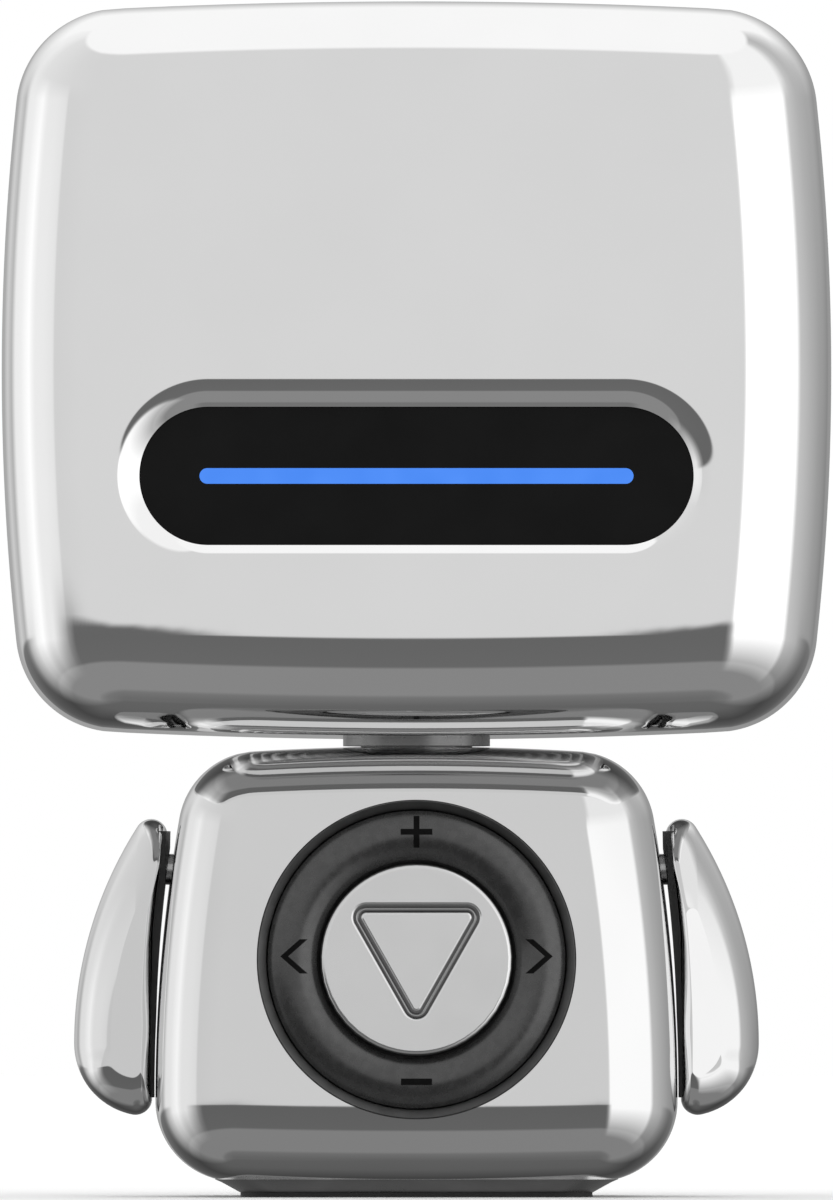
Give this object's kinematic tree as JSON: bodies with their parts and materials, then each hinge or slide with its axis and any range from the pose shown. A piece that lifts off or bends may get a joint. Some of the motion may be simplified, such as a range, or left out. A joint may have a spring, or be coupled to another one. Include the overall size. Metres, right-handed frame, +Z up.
{
  "type": "robot shaped portable speaker",
  "caption": "Palm-size chrome speaker shaped like a robot: turning rounded head with a dark lit visor, swinging arms, rocking control ring with a centre key, and a flat foot.",
  "frame": {"origin": "middle of the foot pad's underside, on the surface it stands on", "axes": "+Z up through the neck, the face looks along -Y, +X to the viewer's right when the face is looked at"},
  "size_m": [0.0536, 0.0329, 0.077],
  "materials": {
    "chrome": "polished",
    "dark_chrome": "satin",
    "graphite_plastic": "satin",
    "black_mark": "matte",
    "smoked_lens": "gloss",
    "blue_light": "gloss",
    "rubber_black": "matte",
    "silicone_grey": "matte",
    "plastic_black": "matte",
    "bush_white": "satin",
    "steel": "satin",
    "grille_metal": "satin",
    "magnet": "satin",
    "paper_cone": "matte",
    "copper": "satin",
    "circuit_board": "satin",
    "battery_wrap": "satin"
  },
  "bodies": {
    "torso": {"torso_front_shell": "chrome", "torso_rear_shell": "chrome", "torso_screws": "steel", "neck_bush": "bush_white", "control_bezel": "dark_chrome", "keypad_frame": "plastic_black", "keypad_membrane": "silicone_grey", "tact_switches": "plastic_black", "main_board": "circuit_board", "board_chips": "plastic_black", "harness_socket": "plastic_black", "board_screws": "steel", "battery_cell": "battery_wrap", "charge_board": "circuit_board", "usb_port": "steel", "foot_plate": "chrome", "foot_pad": "rubber_black", "foot_screws": "steel"},
    "head": {"head_front_shell": "chrome", "head_rear_shell": "chrome", "visor_lens": "smoked_lens", "visor_gasket": "rubber_black", "light_guide": "blue_light", "light_board": "circuit_board", "light_leds": "bush_white", "light_board_screws": "steel", "speaker_grille": "grille_metal", "speaker_gasket": "rubber_black", "speaker_frame": "steel", "speaker_surround": "rubber_black", "speaker_yoke": "steel", "speaker_magnet": "magnet", "speaker_top_plate": "steel", "head_screws": "steel", "neck_spindle": "chrome", "neck_screws": "steel", "neck_clip": "steel", "head_harness": "rubber_black"},
    "diaphragm": {"speaker_cone": "paper_cone", "voice_coil": "copper"},
    "arm_left": {"arm_left_shell": "chrome", "arm_left_liner": "plastic_black", "shoulder_pin_left": "steel", "shoulder_clip_left": "steel"},
    "arm_right": {"arm_right_shell": "chrome", "arm_right_liner": "plastic_black", "shoulder_pin_right": "steel", "shoulder_clip_right": "steel"},
    "ring_gimbal": {"rocker_gimbal": "plastic_black"},
    "control_ring": {"control_ring": "graphite_plastic", "ring_marks": "black_mark"},
    "play_button": {"center_button": "chrome"}
  },
  "joints": [
    {"name": "neck_yaw", "type": "hinge", "parent": "torso", "child": "head", "pos_m": [0, 0, 0.0293], "axis": [0, 0, 1], "range_deg": [-90, 90]},
    {"name": "cone_throw", "type": "slide", "parent": "head", "child": "diaphragm", "axis": [0, 1, 0], "range_m": [-0.0004, 0.0004], "stiffness_N_per_m": 600, "deforming": ["speaker_surround"]},
    {"name": "arm_left_swing", "type": "hinge", "parent": "torso", "child": "arm_left", "pos_m": [-0.017, 0, 0.02114], "axis": [1, 0, 0], "range_deg": [-90, 90]},
    {"name": "arm_right_swing", "type": "hinge", "parent": "torso", "child": "arm_right", "pos_m": [0.017, 0, 0.02114], "axis": [1, 0, 0], "range_deg": [-90, 90]},
    {"name": "ring_rock_up_down", "type": "hinge", "parent": "torso", "child": "ring_gimbal", "pos_m": [0, -0.00855, 0.0153], "axis": [1, 0, 0], "range_deg": [-2, 2], "stiffness_Nm_per_rad": 0.02},
    {"name": "ring_rock_left_right", "type": "hinge", "parent": "ring_gimbal", "child": "control_ring", "pos_m": [0, -0.00855, 0.0153], "axis": [0, 0, 1], "range_deg": [-2, 2], "stiffness_Nm_per_rad": 0.02},
    {"name": "play_press", "type": "slide", "parent": "torso", "child": "play_button", "axis": [0, 1, 0], "range_m": [0, 0.0004], "stiffness_N_per_m": 400}
  ]
}
